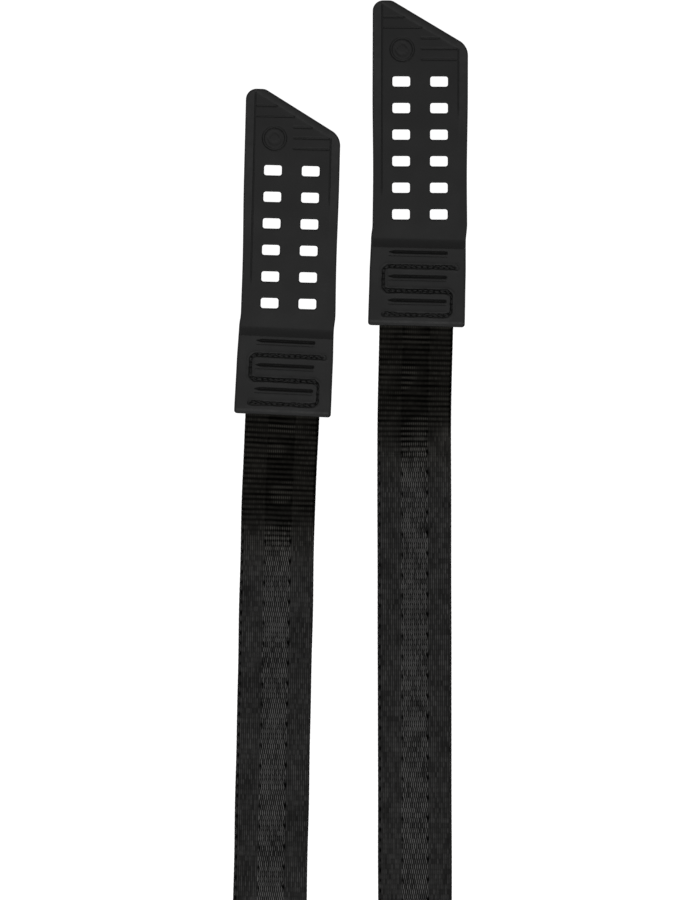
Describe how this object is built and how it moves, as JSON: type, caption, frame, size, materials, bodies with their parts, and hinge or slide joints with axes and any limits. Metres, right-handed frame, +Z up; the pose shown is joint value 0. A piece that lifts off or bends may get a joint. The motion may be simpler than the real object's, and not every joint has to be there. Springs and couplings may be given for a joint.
{
  "type": "climbing skin tail strap pair",
  "caption": "Pair of climbing-skin tail straps: a slotted rubber ladder tab, sewn to flat woven webbing, hooks over a clip at the ski's tail.",
  "frame": {"origin": "middle of the pair on the surface that it lies on", "axes": "+Y along the straps towards the tips of the tabs, +Z up out of the surface, +X across from the left strap to the right one"},
  "size_m": [0.1212, 0.5122, 0.0041],
  "materials": {
    "rubber": "satin moulded, with fine texture",
    "webbing": "woven, with a ribbed middle stripe",
    "thread": "twisted bonded polyester"
  },
  "bodies": {
    "left_lower": {"left_webbing_lower": "webbing"},
    "left_upper": {"left_webbing_upper": "webbing"},
    "left_tab": {"left_sewing_pad": "rubber", "left_webbing_tongue": "webbing", "left_needle_thread": "thread", "left_bobbin_thread": "thread"},
    "left_ladder": {"left_ladder": "rubber"},
    "right_lower": {"right_webbing_lower": "webbing"},
    "right_upper": {"right_webbing_upper": "webbing"},
    "right_tab": {"right_sewing_pad": "rubber", "right_webbing_tongue": "webbing", "right_needle_thread": "thread", "right_bobbin_thread": "thread"},
    "right_ladder": {"right_ladder": "rubber"}
  },
  "joints": [
    {"name": "left_webbing_fold", "type": "hinge", "parent": "left_lower", "child": "left_upper", "pos_m": [-0.03788, -0.07579, 0.0016], "axis": [0.9998, -0.0209, 0], "range_deg": [0, 90]},
    {"name": "left_tab_fold", "type": "hinge", "parent": "left_upper", "child": "left_tab", "pos_m": [-0.03466, 0.03416, 0.0016], "axis": [0.9989, -0.0471, 0], "range_deg": [0, 90]},
    {"name": "left_ladder_bend", "type": "hinge", "parent": "left_tab", "child": "left_ladder", "pos_m": [-0.0321, 0.0884, 0.0024], "axis": [0.9989, -0.0471, 0], "range_deg": [0, 45]},
    {"name": "right_webbing_fold", "type": "hinge", "parent": "right_lower", "child": "right_upper", "pos_m": [0.03324, -0.03034, 0.0016], "axis": [1, 0.0017, 0], "range_deg": [0, 90]},
    {"name": "right_tab_fold", "type": "hinge", "parent": "right_upper", "child": "right_tab", "pos_m": [0.03397, 0.07965, 0.0016], "axis": [0.9997, -0.0244, 0], "range_deg": [0, 90]},
    {"name": "right_ladder_bend", "type": "hinge", "parent": "right_tab", "child": "right_ladder", "pos_m": [0.03529, 0.13394, 0.0024], "axis": [0.9997, -0.0244, 0], "range_deg": [0, 45]},
    {"name": "right_lift", "type": "slide", "parent": "left_lower", "child": "right_lower", "axis": [0, 0, 1], "range_m": [0, 0.12]}
  ]
}
